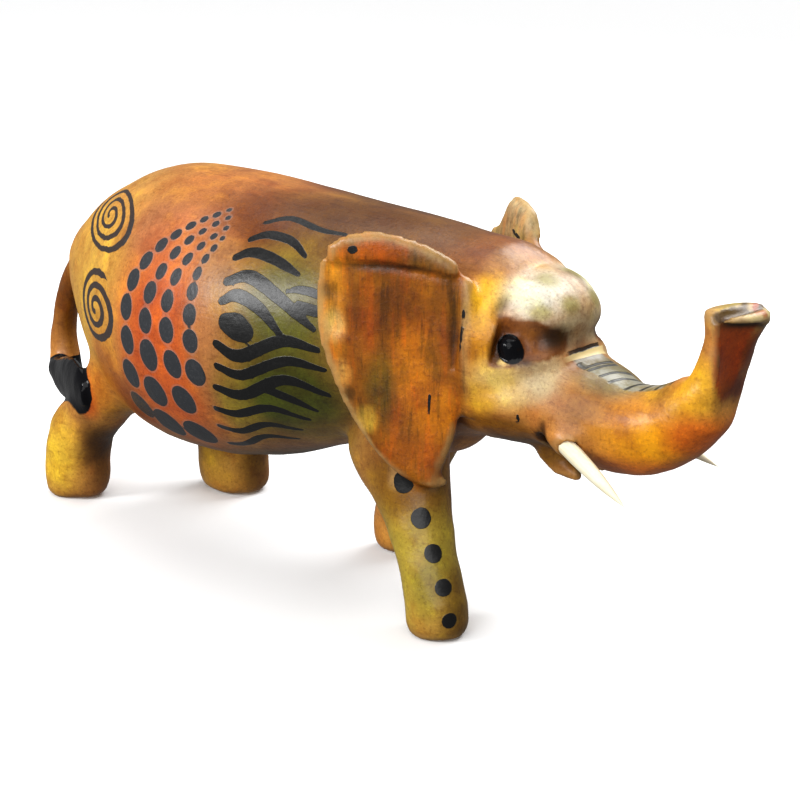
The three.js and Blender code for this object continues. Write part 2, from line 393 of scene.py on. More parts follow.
def tail_tuft(x, y, z):
    """A thin upright leaf with rounded edges."""
    run = np.subtract(TUFT_TIP, TUFT_ROOT)
    length = np.linalg.norm(run)
    run = run / length
    way = (x - TUFT_ROOT[0]) * run[0] + (y - TUFT_ROOT[1]) * run[1]
    aside = (y - TUFT_ROOT[1]) * run[0] - (x - TUFT_ROOT[0]) * run[1]
    shares = [row[0] for row in TUFT_LEAF]
    middle, tall, thick = (np.interp(way / length, shares, [row[k] for row in TUFT_LEAF]) for k in (1, 2, 3))
    edge = (np.hypot((z - middle) / tall, aside / thick) - 1) * thick
    return np.maximum(edge, np.abs(way / length - 0.5) * length - 0.6 * length)


def carve_tuft(block):
    """Tuft of the tail, joined to the web behind the right hind leg."""
    block.add(tail_tuft, (-128, -36, 22), (-74, 8, 58), 1.4)


def carve_knife_marks(block):
    """Low facets left by the knife on the legs, the head and the trunk, fading out on the smooth back."""
    x, y, z = block.whole()
    random = np.random.default_rng(7)
    relief = np.zeros_like(block.far)
    for size, height in ((17.0, 0.55), (9.0, 0.3)):
        for _ in range(5):
            way = random.normal(size=3)
            way = way / np.linalg.norm(way)
            phase = random.uniform(0, 1)
            wave = np.abs(((x * way[0] + y * way[1] + z * way[2]) / size + phase) % 1.0 - 0.5)
            relief += height / 5 * 4 * (wave - 0.25)
    rough = np.clip((44 - z) / 14, 0, 1) + np.clip((x - 60) / 14, 0, 1) + np.clip((-98 - x) / 8, 0, 1)
    near = np.clip(1.5 - np.abs(block.far) / 3, 0, 1)
    block.far = block.far + relief * np.clip(rough, 0.12, 1) * near


def carve(block):
    """All the carving, then the soles cut flat."""
    smooth_all(block)
    carve_ears(block)
    carve_face(block)
    carve_trunk(block)
    carve_tuft(block)
    carve_knife_marks(block)
    height = block.whole()[2]
    block.far = np.maximum(block.far, -height)
    return block.surface()


# ---------------------------------------------------------------- where the paint goes

# A distance in mm that counts as no paint near.
FAR = 9.0


class Skin:
    """The carved surface as the painter sees it: the right side, which the left side repeats."""

    def __init__(self, points, faces):
        self.points = points
        self.side = np.where(points[:, 1] < 0, -1, 1)
        self.x = points[:, 0]
        self.y = -np.abs(points[:, 1])
        self.true_y = points[:, 1]
        self.z = points[:, 2]
        self.tree = BVHTree.FromPolygons(points.tolist(), faces.tolist())

    def spot(self, x, angle):
        """The point of the flank at a place along the torso and an angle above the horizontal."""
        turn = math.radians(angle)
        way = Vector((0, -math.cos(turn), math.sin(turn)))
        found = self.tree.ray_cast(Vector((x, 0, AXIS_Z)), way)
        return found[0]

    def stroke(self, stations):
        """A brush stroke through (x, angle, half width): rod stations on the skin."""
        return [(*self.spot(x, angle), half) for x, angle, half in curve(stations)]

    def distance(self, shape):
        return shape(self.x, self.y, self.z)


# Four strands of dots: (place along, angle) from the small end to the large one, dots, first and last width.
DOT_STRANDS = [
    ([(-17, 59), (-33, 38), (-42, 18), (-43, -8), (-46, -39)], 12, 2.0, 10.4),
    ([(-15, 55), (-25, 38), (-33, 12), (-32, -14), (-36, -45)], 11, 2.0, 11.2),
    ([(-13, 50), (-22, 30), (-24, 8), (-21, -18), (-24, -47)], 10, 2.0, 11.2),
    ([(-12, 45), (-15, 28), (-14, 4), (-13, -12)], 8, 1.9, 7.8),
]

# Wavy stripes: where the round end starts (place along, angle), length, how many degrees the stripe has
# swung at its first turn, at its second turn and at its end, and half its width. The high ones rise
# first and the low ones dip first. The last three are short branches; two of them run backward.
STRIPES = [
    (-2, 57, 27, 6, 4, 5, 1.1),
    (-2.5, 47.5, 20, 4.5, 4, -1, 1.5),
    (-4, 38.5, 22, 4, 2.5, -0.5, 1.7),
    (-3.5, 28, 30, 4, -3, -11.5, 2.0),
    (-3.5, 20, 20.5, 3.5, -0.5, -9, 1.9),
    (-4, 2.5, 32, -3.5, 6, 4.5, 1.9),
    (-4.5, -7, 34, -2.5, 6.5, 4, 1.6),
    (-6.5, -17, 35, -2.5, 7, -1, 1.8),
    (-9.5, -28.5, 28, -2, 2, -7, 1.6),
    (-12.5, -39.5, 26, -3, 2, -4.5, 1.4),
    (-16, -54, 25, 0.5, 7, 1, 1.4),
    (9, -15, 13.5, -2, -7, -14, 1.5),
    (28, 31, -11.5, 1, 1, -1, 1.3),
    (28.5, 24.5, -8, 0, 0.5, 1.5, 1.6),
]
# Along every stripe: share of its length, and share of its half width.
STRIPE_PROFILE = [(0, 0.68), (0.25, 1.0), (0.67, 0.9), (1, 0.45)]
# The round blot among the stripes: (place along, angle, half width).
BLOT = [(-1, 12, 2.6), (2.5, 11, 3.8), (5.5, 9.5, 3.0)]

# Round spots down the front legs, smaller towards the foot: middle of the top one (x, |y|, z), the step
# to the next one, and how far the row bends back in x.
LEG_SPOTS = {-1: ((54, 26.7, 41), (7.0, 0.45, -8.6), -0.65), 1: ((31, 25.4, 46), (-3.7, 0.3, -9.2), 0.27)}
SPOT_RADII = (3.1, 2.9, 2.7, 2.4, 2.2)

# Spirals: centre, sideways and upward directions, stretch behind and in front of the centre, spacing of
# the turns, where the line starts and ends in turns, and half its width.
SPIRALS = {
    "upper_spiral": dict(centre=(-71, -20, 97.5), across=(0.86, -0.46, 0.14), up=(0.35, 0.55, 0.76),
                         behind=1.75, ahead=2.25, pitch=3.0, first=0.25, last=3.5, half=0.62),
    "lower_spiral": dict(centre=(-66, -32, 71), across=(0.92, -0.4, 0), up=(0, 0, 1),
                         behind=1.4, ahead=1.8, pitch=3.95, first=0.2, last=2.78, half=0.95),
}


def painted_dots(skin):
    """Distance to the strands of dots, which grow and stretch as they run down the flank."""
    random = np.random.default_rng(11)
    best = np.full(len(skin.x), FAR, np.float32)
    for path, count, first, last in DOT_STRANDS:
        line = np.array([skin.spot(x, angle) for x, angle in curve(path, 10)])
        along = np.concatenate([[0], np.cumsum(np.linalg.norm(np.diff(line, axis=0), axis=1))])
        grow = np.linspace(0, 1, count)
        width = first * (last / first) ** (grow ** 1.1)
        gap = 0.5 * (width[:-1] + width[1:]) + 0.9
        place = np.concatenate([[0], np.cumsum(gap)])
        place = place / place[-1] * along[-1]
        for i in range(count):
            centre = np.array([np.interp(place[i], along, line[:, k]) for k in range(3)])
            ahead = np.array([np.interp(place[i] + 2, along, line[:, k]) for k in range(3)])
            behind = np.array([np.interp(place[i] - 2, along, line[:, k]) for k in range(3)])
            way = (ahead - behind) / np.linalg.norm(ahead - behind)
            centre = centre + random.uniform(-0.05, 0.05, 3) * width[i]
            wide = width[i] / 2 * random.uniform(0.93, 1.05)
            stretch = 1.10 + 0.20 * math.sin(math.pi * min(1, grow[i] * 1.05)) + random.uniform(-0.05, 0.05)
            dx, dy, dz = skin.x - centre[0], skin.y - centre[1], skin.z - centre[2]
            t = dx * way[0] + dy * way[1] + dz * way[2]
            across = dx * dx + dy * dy + dz * dz - t * t
            size = np.sqrt((t / (wide * stretch)) ** 2 + np.maximum(across, 0) / wide ** 2)
            best = np.minimum(best, (size - 1) * wide)
    return best


def painted_stripes(skin):
    """Distance to the wavy stripes and the blot among them."""
    best = skin.distance(rod(skin.stroke(BLOT)))
    for x, angle, length, *swings, half in STRIPES:
        stations = [
            (x + share * length, angle + swing, width * half)
            for (share, width), swing in zip(STRIPE_PROFILE, (0, *swings))
        ]
        best = np.minimum(best, skin.distance(rod(skin.stroke(stations))))
    return best


def painted_leg_spots(skin):
    """Distance to the spots on the front legs, whose rows differ because the legs are in mid stride."""
    best = np.full(len(skin.x), FAR, np.float32)
    for side, (top, step, bend) in LEG_SPOTS.items():
        for i, radius in enumerate(SPOT_RADII):
            x, y, z = (place + i * move for place, move in zip(top, step))
            x += bend * i * i
            far = np.sqrt((skin.x - x) ** 2 + (skin.y + y) ** 2 + (skin.z - z) ** 2) - radius
            best = np.minimum(best, np.where(skin.side == side, far, FAR))
    return best


# Nicks and dashes rubbed with black: their two ends as (x, y, z), and half their width.
NICKS = [
    ((71.0, -23, 89.8), (71.0, -23, 88.0), 0.55), ((70.8, -24, 86.0), (70.6, -24, 82.0), 0.6),
    ((70.4, -24, 80.6), (69.8, -24, 78.6), 0.5), ((62.8, -26.8, 66.5), (62.4, -27, 61.5), 0.5),
    ((86.8, -20, 64.2), (86.2, -20, 62.0), 0.5), ((46.6, -38, 104.7), (45.6, -38, 104.5), 1.0),
    ((46.4, 27.6, 100.4), (48.4, 26.6, 99.8), 0.6), ((49.2, 26.2, 99.6), (51.4, 25.2, 98.9), 0.6),
]


def painted_nicks(skin):
    """Distance to the nicks, each laid on the nearest skin of its own side."""
    best = np.full(len(skin.x), FAR, np.float32)
    for first, last, half in NICKS:
        ends = [(*skin.tree.find_nearest(Vector(end))[0], half) for end in (first, last)]
        best = np.minimum(best, rod(ends)(skin.x, skin.true_y, skin.z))
    return best


def lacquered(skin):
    """Distance to the black lacquer of the eyes and the tuft of the tail."""
    eye = eyes(skin.x, skin.true_y, skin.z) - 0.45
    tuft = np.maximum(skin.z - 40.8 - 0.25 * (skin.x + 118), skin.x + 106.5 - 0.35 * (skin.z - 30))
    tuft = np.maximum(tuft, 24.5 - skin.z)
    on_tail = (skin.side < 0) | (skin.x < -104)
    tuft = np.minimum(tuft, np.where(on_tail, skin.distance(tail_tuft) - 0.9, FAR))
    return np.minimum(eye, tuft)


def plane_place(skin, centre, across, up):
    """Places in a plane that touches the skin, and distance from its centre."""
    d = np.stack([skin.x - centre[0], skin.y - centre[1], skin.z - centre[2]], 1)
    across = np.array(across) / np.linalg.norm(across)
    up = np.array(up) / np.linalg.norm(up)
    return np.stack([d @ across, d @ up, np.linalg.norm(d, axis=1)], 1)


# The top of the trunk in the middle plane, from the brow to the bend, as (x, z).
TRUNK_TOP = [(95, 84), (98, 78.5), (104, 75), (111, 73.5), (118, 75), (125, 78.5)]
# Cuts across the top of the trunk, in mm along that line, and the cream ring between two of them.
NOTCHES = (3.0, 7.0, 8.5, 12.5, 15.5, 20.0, 23.5, 27.5, 32.0)
CREAM_RING = (3.4, 5.2)
# How far the cuts lean back, in mm along for each mm across.
NOTCH_SLANT = 0.35


def trunk_place(skin):
    """Distance along the top of the trunk, distance away from that line, and distance from the middle."""
    along, nearest = np.zeros(len(skin.x)), np.full(len(skin.x), 1e9)
    start = 0.0
    for (ax, az), (bx, bz) in zip(TRUNK_TOP[:-1], TRUNK_TOP[1:]):
        length = math.hypot(bx - ax, bz - az)
        ux, uz = (bx - ax) / length, (bz - az) / length
        t = np.clip((skin.x - ax) * ux + (skin.z - az) * uz, 0, length)
        far = np.hypot(skin.x - ax - t * ux, skin.z - az - t * uz)
        along = np.where(far < nearest, start + t, along)
        nearest = np.minimum(far, nearest)
        start += length
    slant = NOTCH_SLANT * np.clip(along / 12 - 0.3, 0, 1)
    return np.stack([along - slant * skin.true_y, nearest, -skin.y], 1)


# ---------------------------------------------------------------- stain

# Soft patches of stain, with painted shade under the belly and painted highlights on the boss and the trunk,
# in the order they are rubbed in: colour, middle (x, |y|, z), reach, strength.
STAIN_BASE = (0.50, 0.20, 0.04)
STAINS_WITH_PAINTED_LIGHT = [
    ((0.64, 0.34, 0.045), (-76, 24, 76), (38, 34, 52), 1.0),
    ((0.46, 0.22, 0.05), (-52, 6, 110), (44, 30, 20), 0.9),
    ((0.38, 0.125, 0.028), (-26, 12, 110), (36, 28, 18), 0.9),
    ((0.14, 0.032, 0.003), (-4, 20, 104), (28, 24, 18), 1.0),
    ((0.10, 0.035, 0.005), (26, 10, 106), (46, 26, 20), 1.0),
    ((0.34, 0.12, 0.05), (-38, 28, 98), (22, 20, 14), 0.8),
    ((0.42, 0.16, 0.08), (-22, 28, 98), (16, 16, 12), 0.5),
    ((0.52, 0.090, 0.014), (-29, 38, 63), (27, 30, 50), 1.0),
    ((0.40, 0.15, 0.045), (-8, 40, 78), (9, 22, 44), 0.85),
    ((0.36, 0.17, 0.06), (-9, 34, 90), (9, 16, 12), 0.7),
    ((0.11, 0.09, 0.008), (16, 32, 84), (27, 26, 25), 1.0),
    ((0.055, 0.06, 0.004), (18, 34, 56), (32, 28, 32), 1.0),
    ((0.22, 0.17, 0.015), (-2, 34, 50), (9, 20, 20), 0.6),
    # Painted shade: dark under the belly, where the body shades its own underside.
    ((0.05, 0.032, 0.003), (-6, 0, 30), (54, 30, 18), 0.9),
    ((0.42, 0.12, 0.008), (-62, 32, 50), (20, 20, 24), 0.9),
    ((0.22, 0.04, 0.008), (-50, 30, 42), (14, 20, 14), 0.9),
    ((0.52, 0.16, 0.010), (-78, 24, 42), (14, 18, 14), 0.8),
    ((0.20, 0.065, 0.012), (62, 6, 104), (20, 22, 12), 0.95),
    ((0.46, 0.17, 0.005), (75, 22, 76), (8, 10, 22), 1.0),
    ((0.74, 0.36, 0.012), (74, 18, 93), (6, 9, 12), 1.0),
    ((0.12, 0.045, 0.008), (49, 6, 106), (16, 18, 10), 0.85),
    # The boss is pale: partly its own cream paint, partly a painted highlight where the light from above
    # falls on it.
    ((0.48, 0.38, 0.18), (83, 0, 91), (15, 17, 12), 1.0),
    ((0.66, 0.61, 0.50), (83.5, 8, 92.5), (13, 14, 10), 1.0),
    ((0.50, 0.42, 0.25), (92, 4, 85), (7, 10, 8), 0.9),
    ((0.30, 0.13, 0.03), (73, 8, 101), (7, 10, 6), 0.8),
    ((0.34, 0.27, 0.07), (87.3, 12, 90), (5, 4, 3), 0.85),
    ((0.34, 0.25, 0.09), (87, 15, 71), (9, 10, 7), 0.6),
    ((0.28, 0.23, 0.05), (84.5, 5.2, 97.2), (5, 4.5, 3.5), 0.9),
    ((0.30, 0.25, 0.06), (91.8, 5.2, 91.8), (3.5, 4, 4), 0.8),
    ((0.62, 0.40, 0.12), (82, 22, 72), (13, 12, 9), 1.0),
    ((0.56, 0.44, 0.24), (91, 15, 75), (9, 11, 8), 0.85),
    ((0.60, 0.30, 0.020), (76, 21, 67), (7, 8, 6), 0.8),
    ((0.24, 0.085, 0.005), (80, 18, 59), (16, 14, 7), 0.9),
    ((0.11, 0.042, 0.003), (86, 12, 53), (20, 18, 8), 0.9),
    ((0.32, 0.13, 0.02), (103, 10, 69), (14, 12, 12), 0.9),
    ((0.16, 0.12, 0.03), (104, 4, 74), (16, 11, 6), 0.9),
    ((0.64, 0.24, 0.004), (119, 10, 62), (20, 12, 12), 1.0),
    ((0.34, 0.16, 0.008), (119, 4, 74), (9, 9, 5), 0.8),
    ((0.62, 0.14, 0.008), (118, 2, 52), (26, 16, 9), 0.95),
    ((0.70, 0.34, 0.015), (130, 9, 77), (9, 10, 13), 1.0),
    # Painted highlight: the trunk's red made brighter low on its bend, where light catches it.
    ((0.72, 0.14, 0.006), (132, 5, 64), (12, 14, 9), 0.9),
    ((0.20, 0.030, 0.001), (142, 0, 84), (8, 14, 15), 0.9),
    ((0.40, 0.26, 0.10), (138, 0, 97), (14, 14, 7), 0.9),
    ((0.66, 0.56, 0.34), (144, 1, 96.5), (6, 10, 4), 0.95),
    ((0.28, 0.20, 0.03), (136, 0, 99.5), (4.5, 9, 4), 0.8),
    ((0.40, 0.28, 0.03), (58, 26, 20), (26, 20, 36), 1.0),
    ((0.40, 0.28, 0.03), (22, 26, 20), (20, 20, 36), 1.0),
    ((0.18, 0.070, 0.004), (53, 26, 41), (19, 16, 17), 0.95),
    ((0.20, 0.15, 0.012), (66, 30, 17), (6, 12, 14), 0.7),
    ((0.16, 0.08, 0.006), (74, 22, 12), (8, 16, 26), 0.9),
    ((0.68, 0.40, 0.03), (-100, 26, 18), (16, 14, 24), 1.0),
    ((0.07, 0.025, 0.002), (-84, 15, 18), (9, 17, 26), 0.95),
    ((0.48, 0.26, 0.02), (-67, 22, 14), (18, 20, 26), 0.9),
    ((0.10, 0.04, 0.003), (-50, 24, 14), (8, 20, 26), 0.9),
    ((0.17, 0.050, 0.003), (-114, 0, 62), (18, 12, 30), 1.0),
    ((0.10, 0.05, 0.008), (-104, 0, 84), (12, 10, 9), 0.8),
    ((0.45, 0.06, 0.006), (-98, 8, 33), (12, 14, 12), 0.9),
    ((0.58, 0.07, 0.004), (-81, 24, 39), (6, 7, 10), 0.85),
]

# Stain on the surfaces that cuts have left: on the trunk scoop its own red stain; in the eye socket, the
# mouth slot, the mouth corners and the trunk slit painted shade, dark where shadow falls in these recesses.
CUT_STAINS_AND_SHADE = [
    (EYE_SOCKET, (0.20, 0.055, 0.003)),
    (MOUTH_SLOT, (0.03, 0.010, 0.002)),
    (MOUTH_CORNER, (0.04, 0.014, 0.002)),
    (TRUNK_SCOOP, (0.34, 0.045, 0.002)),
    (TRUNK_SLIT, (0.05, 0.022, 0.003)),
]

# Over everything else: painted shade, dark where shadow falls in the temple groove, the corners of the socket
# and round the scoop and the slit of the trunk, and a pale fleck under the eye.
PAINTED_SHADE_AND_FLECK = [
    ((0.10, 0.06, 0.008), (78.4, 17, 93.5), (2.2, 4, 7), 0.85),
    ((0.020, 0.008, 0.001), (90.5, 10, 83.6), (6, 7, 5), 0.95),
    ((0.045, 0.012, 0.001), (79.8, 19.5, 80.0), (2.6, 4, 6), 0.95),
    ((0.045, 0.018, 0.002), (85.0, 17.5, 77.6), (6, 5, 1.6), 0.8),
    ((0.030, 0.014, 0.002), (141.5, 4.5, 94.0), (8, 11, 2.2), 1.0),
    ((0.060, 0.018, 0.002), (137.9, 7.6, 86), (1.8, 2.0, 9), 0.9),
    ((0.060, 0.020, 0.002), (139.5, 2.5, 76), (5, 7, 6), 0.8),
    ((0.80, 0.55, 0.20), (81.4, 19.8, 77.8), (2.0, 2.0, 1.7), 0.95),
]

# The same on the ears, with painted shade in the fold, the dents and the crease and a painted highlight on
# the pared rear edge: middle and reach are out along the ear, in front of it, and up.
EAR_BASE = (0.25, 0.075, 0.004)
EAR_STAINS_SHADE_AND_HIGHLIGHT = [
    ((0.50, 0.14, 0.004), (10, 0, 76), (8, 8, 26), 0.85),
    ((0.16, 0.045, 0.002), (17, 0, 90), (14, 8, 11), 0.8),
    ((0.40, 0.10, 0.003), (22, 0, 84), (4, 8, 16), 0.7),
    ((0.12, 0.070, 0.004), (19, 0, 68), (6, 8, 13), 0.8),
    ((0.56, 0.16, 0.003), (4, 0, 62), (8, 8, 14), 0.85),
    # Painted shade along the fold beside the root.
    ((0.10, 0.035, 0.003), (-0.6, 0, 86), (1.8, 8, 16), 0.8),
    ((0.34, 0.085, 0.003), (10, 0, 50), (12, 8, 8), 0.8),
    ((0.56, 0.20, 0.012), (32, 0, 90), (6, 9, 22), 0.9),
    # Pale on the pared rear edge: partly its own pale stain, partly a painted highlight where the edge
    # catches the light.
    ((0.60, 0.38, 0.12), (31, 0, 84), (4, 9, 6), 0.75),
    ((0.60, 0.33, 0.07), (29.5, 0, 71), (4, 9, 5), 0.7),
    ((0.62, 0.38, 0.04), (22.5, 0, 59), (4, 9, 5), 0.85),
    # Painted shade in two dents near the rim.
    ((0.09, 0.040, 0.006), (33, 0, 93), (3, 9, 3.4), 0.7),
    ((0.07, 0.028, 0.004), (27.5, 0, 65.5), (2.6, 9, 3.0), 0.85),
    ((0.42, 0.090, 0.004), (20, 0, 104), (16, 9, 4), 0.8),
    ((0.10, 0.060, 0.006), (8, 0, 103), (7, 9, 4), 0.6),
    # Painted shade in the crease under the folded band.
    ((0.040, 0.015, 0.002), (17, 0, 100.2), (19, 9, 1.3), 0.9),
    ((0.36, 0.27, 0.12), (-4.8, 0, 84), (3.0, 9, 22), 0.9),
]
LEFT_EAR_TOP = ((0.56, 0.43, 0.23), (16, 0, 108), (34, 14, 11), 0.95)
EAR_BACK = (0.40, 0.25, 0.10)


def rubbed_in(colours, places, patches):
    """Blend each patch's colour in, strongest in its middle and gone at its reach."""
    for colour, middle, reach, strength in patches:
        far = np.sqrt(sum(((p - m) / r) ** 2 for p, m, r in zip(places, middle, reach)))
        amount = np.clip((1.05 - far) / 0.75, 0, 1)
        amount = (amount * amount * (3 - 2 * amount) * strength)[:, None]
        colours = colours * (1 - amount) + np.array(colour) * amount
    return colours


def stain_with_painted_light(skin):
    """The colour of the wood's stain at each point, with painted shade in recesses and under the belly and
    painted highlights on the boss, the trunk and the ears' rear edges, and how far each point is on an ear.
    """
    count = len(skin.x)
    colours = rubbed_in(np.tile(STAIN_BASE, (count, 1)), (skin.x, -skin.y, skin.z), STAINS_WITH_PAINTED_LIGHT)
    on_ears = np.zeros(count)
    for side in (-1, 1):
        out, height, front = ear_place(skin.x, side * -skin.y, skin.z, side)
        patches = EAR_STAINS_SHADE_AND_HIGHLIGHT + ([LEFT_EAR_TOP] if side > 0 else [])
        ear = rubbed_in(np.tile(EAR_BASE, (count, 1)), (out, front, height), patches)
        back = np.clip((-1.2 - front) / 1.6, 0, 1)[:, None]
        ear = ear * (1 - back) + np.array(EAR_BACK) * back
        part = np.clip((out + 6) / 3, 0, 1) * (skin.side == side)
        part = part * np.clip((front + 4.6) / 1.4, 0, 1) * np.clip((7 - front) / 2, 0, 1)
        part = part * np.clip((skin.z - 38) / 3, 0, 1) * np.clip((-skin.y - 19) / 3, 0, 1)
        part = part[:, None]
        colours = colours * (1 - part) + ear * part
        on_ears = np.maximum(on_ears, part[:, 0])
    for shape, colour in CUT_STAINS_AND_SHADE:
        amount = 0.92 * on_cut(skin, shape)[:, None]
        colours = colours * (1 - amount) + np.array(colour) * amount
    return rubbed_in(colours, (skin.x, -skin.y, skin.z), PAINTED_SHADE_AND_FLECK), on_ears


def on_cut(skin, shape, reach=0.5):
    """1 on the surface that cutting a shape has left, fading out within reach mm of it."""
    return np.clip(2.0 - np.abs(skin.distance(shape)) / reach, 0, 1)


def inked(skin):
    """The colour of the paint used for the marks: slate dots, black stripes, brown-black spirals."""
    slate = np.clip((-8.5 - skin.x) / 2, 0, 1)[:, None]
    brown = np.clip((-50 - skin.x) / 4, 0, 1)[:, None]
    colours = np.array((0.006, 0.006, 0.006)) * (1 - slate) + np.array((0.028, 0.030, 0.034)) * slate
    return colours * (1 - brown) + np.array((0.036, 0.024, 0.020)) * brown


def paint(made, block, points, faces):
    """Write where every kind of paint, wear, painted shade and painted highlight goes onto the mesh."""
    skin = Skin(points, faces)
    colours, on_ears = stain_with_painted_light(skin)
    # The stain colour carries the painted shade and painted highlights too.
    store_colour(made, "stain", colours)
    store_number(made, "on_ears", on_ears)
    store_colour(made, "ink", inked(skin))
    marks = np.minimum(np.minimum(painted_dots(skin), painted_stripes(skin)),
                       np.minimum(painted_leg_spots(skin), painted_nicks(skin)))
    store_number(made, "marks", marks)
    store_number(made, "halo", 0.28 * np.clip((-9 - skin.x) / 2, 0, 1))
    store_number(made, "lacquer", lacquered(skin))
    for name, spiral in SPIRALS.items():
        store_vector(made, name, plane_place(skin, spiral["centre"], spiral["across"], spiral["up"]))
    store_vector(made, "trunk", trunk_place(skin))
    bend = block.sample(block.softened(1.6), points)
    wide_bend = block.sample(block.softened(4.5), points)
    store_number(made, "edge", np.clip(bend / 0.55, -1, 1))
    store_number(made, "hollow", np.clip(-wide_bend / 2.4, -1, 1))


def store_number(made, name, values):
    layer = made.data.attributes.new(name, "FLOAT", "POINT")
    layer.data.foreach_set("value", np.ascontiguousarray(values, np.float32))


def store_vector(made, name, values):
    layer = made.data.attributes.new(name, "FLOAT_VECTOR", "POINT")
    layer.data.foreach_set("vector", np.ascontiguousarray(values, np.float32).ravel())


def store_colour(made, name, values):
    layer = made.data.attributes.new(name, "FLOAT_COLOR", "POINT")
    full = np.concatenate([values, np.ones((len(values), 1))], 1)
    layer.data.foreach_set("color", np.ascontiguousarray(full, np.float32).ravel())


# ---------------------------------------------------------------- materials

class Nodes:
    """Short ways to make and link the shader nodes of one material."""

    def __init__(self, material):
        material.use_nodes = True
        self.tree = material.node_tree
        self.shader = self.tree.nodes["Principled BSDF"]
        place = self.tree.nodes.new("ShaderNodeTexCoord")
        self.place = place.outputs["Object"]

    def plug(self, value, socket):
        if isinstance(value, bpy.types.NodeSocket):
            self.tree.links.new(value, socket)
        elif isinstance(value, tuple) and socket.type == "RGBA":
            socket.default_value = (*value, 1)
        else:
            socket.default_value = value

    def math(self, kind, *values, clamp=False):
        node = self.tree.nodes.new("ShaderNodeMath")
        node.operation = kind
        node.use_clamp = clamp
        for value, socket in zip(values, node.inputs):
            self.plug(value, socket)
        return node.outputs[0]

    def times(self, a, b):
        return self.math("MULTIPLY", a, b)

    def plus(self, a, b):
        return self.math("ADD", a, b)

    def step(self, value, low, high):
        """0 below low, 1 above high, smooth between; falling where low is above high."""
        node = self.tree.nodes.new("ShaderNodeMapRange")
        node.interpolation_type = "SMOOTHSTEP"
        rising = low < high
        self.plug(value, node.inputs["Value"])
        node.inputs["From Min"].default_value = min(low, high)
        node.inputs["From Max"].default_value = max(low, high)
        node.inputs["To Min"].default_value = 0.0 if rising else 1.0
        node.inputs["To Max"].default_value = 1.0 if rising else 0.0
        return node.outputs["Result"]

    def mix(self, amount, a, b, kind="MIX"):
        node = self.tree.nodes.new("ShaderNodeMix")
        node.data_type = "RGBA"
        node.blend_type = kind
        self.plug(amount, node.inputs["Factor"])
        self.plug(a, node.inputs[6])
        self.plug(b, node.inputs[7])
        return node.outputs[2]

    def attribute(self, name, output="Fac"):
        node = self.tree.nodes.new("ShaderNodeAttribute")
        node.attribute_name = name
        return node.outputs[output]

    def noise(self, size, detail=3.0, rough=0.55, stretch=(1, 1, 1)):
        """Noise between 0 and 1 whose features are about size mm, longer along an axis of small stretch."""
        scaled = self.tree.nodes.new("ShaderNodeVectorMath")
        scaled.operation = "MULTIPLY"
        self.plug(self.place, scaled.inputs[0])
        scaled.inputs[1].default_value = stretch
        node = self.tree.nodes.new("ShaderNodeTexNoise")
        self.tree.links.new(scaled.outputs[0], node.inputs["Vector"])
        node.inputs["Scale"].default_value = 1 / (size * MM)
        node.inputs["Detail"].default_value = detail
        node.inputs["Roughness"].default_value = rough
        return node.outputs["Fac"]

    def parts(self, vector):
        node = self.tree.nodes.new("ShaderNodeSeparateXYZ")
        self.plug(vector, node.inputs[0])
        return node.outputs

    def bump(self, height, depth, under=None):
        node = self.tree.nodes.new("ShaderNodeBump")
        node.inputs["Strength"].default_value = 1.0
        node.inputs["Distance"].default_value = depth * MM
        self.plug(height, node.inputs["Height"])
        if under is not None:
            self.plug(under, node.inputs["Normal"])
        return node.outputs["Normal"]


def spiral_line(nodes, name, spiral, wobble):
    """1 on the painted line of a spiral and 0 off it."""
    across, up, far = nodes.parts(nodes.attribute(name, "Vector"))
    ahead = nodes.math("DIVIDE", nodes.math("MAXIMUM", across, 0.0), spiral["ahead"])
    behind = nodes.math("DIVIDE", nodes.math("MINIMUM", across, 0.0), spiral["behind"])
    level = nodes.plus(ahead, behind)
    radius = nodes.math("SQRT", nodes.plus(nodes.times(level, level), nodes.times(up, up)))
    radius = nodes.plus(radius, wobble)
    turn = nodes.math("DIVIDE", nodes.math("ARCTAN2", up, level), -math.tau)
    count = nodes.math("SUBTRACT", nodes.math("DIVIDE", radius, spiral["pitch"]), turn)
    whole = nodes.math("ROUND", count)
    along = nodes.plus(whole, turn)
    off = nodes.times(nodes.math("ABSOLUTE", nodes.math("SUBTRACT", count, whole)), spiral["pitch"])
    too_far = nodes.math("SUBTRACT", along, spiral["last"])
    too_soon = nodes.math("SUBTRACT", spiral["first"], along)
    past = nodes.math("MAXIMUM", nodes.math("MAXIMUM", too_far, too_soon), 0.0)
    past = nodes.times(past, 6.0 * spiral["pitch"])
    thin = nodes.times(nodes.step(radius, 0.0, spiral["pitch"] * spiral["last"]), 0.12)
    off = nodes.math("SUBTRACT", nodes.plus(off, past), thin)
    on_line = nodes.step(off, spiral["half"] + 0.08, spiral["half"] - 0.12)
    return nodes.times(on_line, nodes.step(far, 26.0, 25.0))


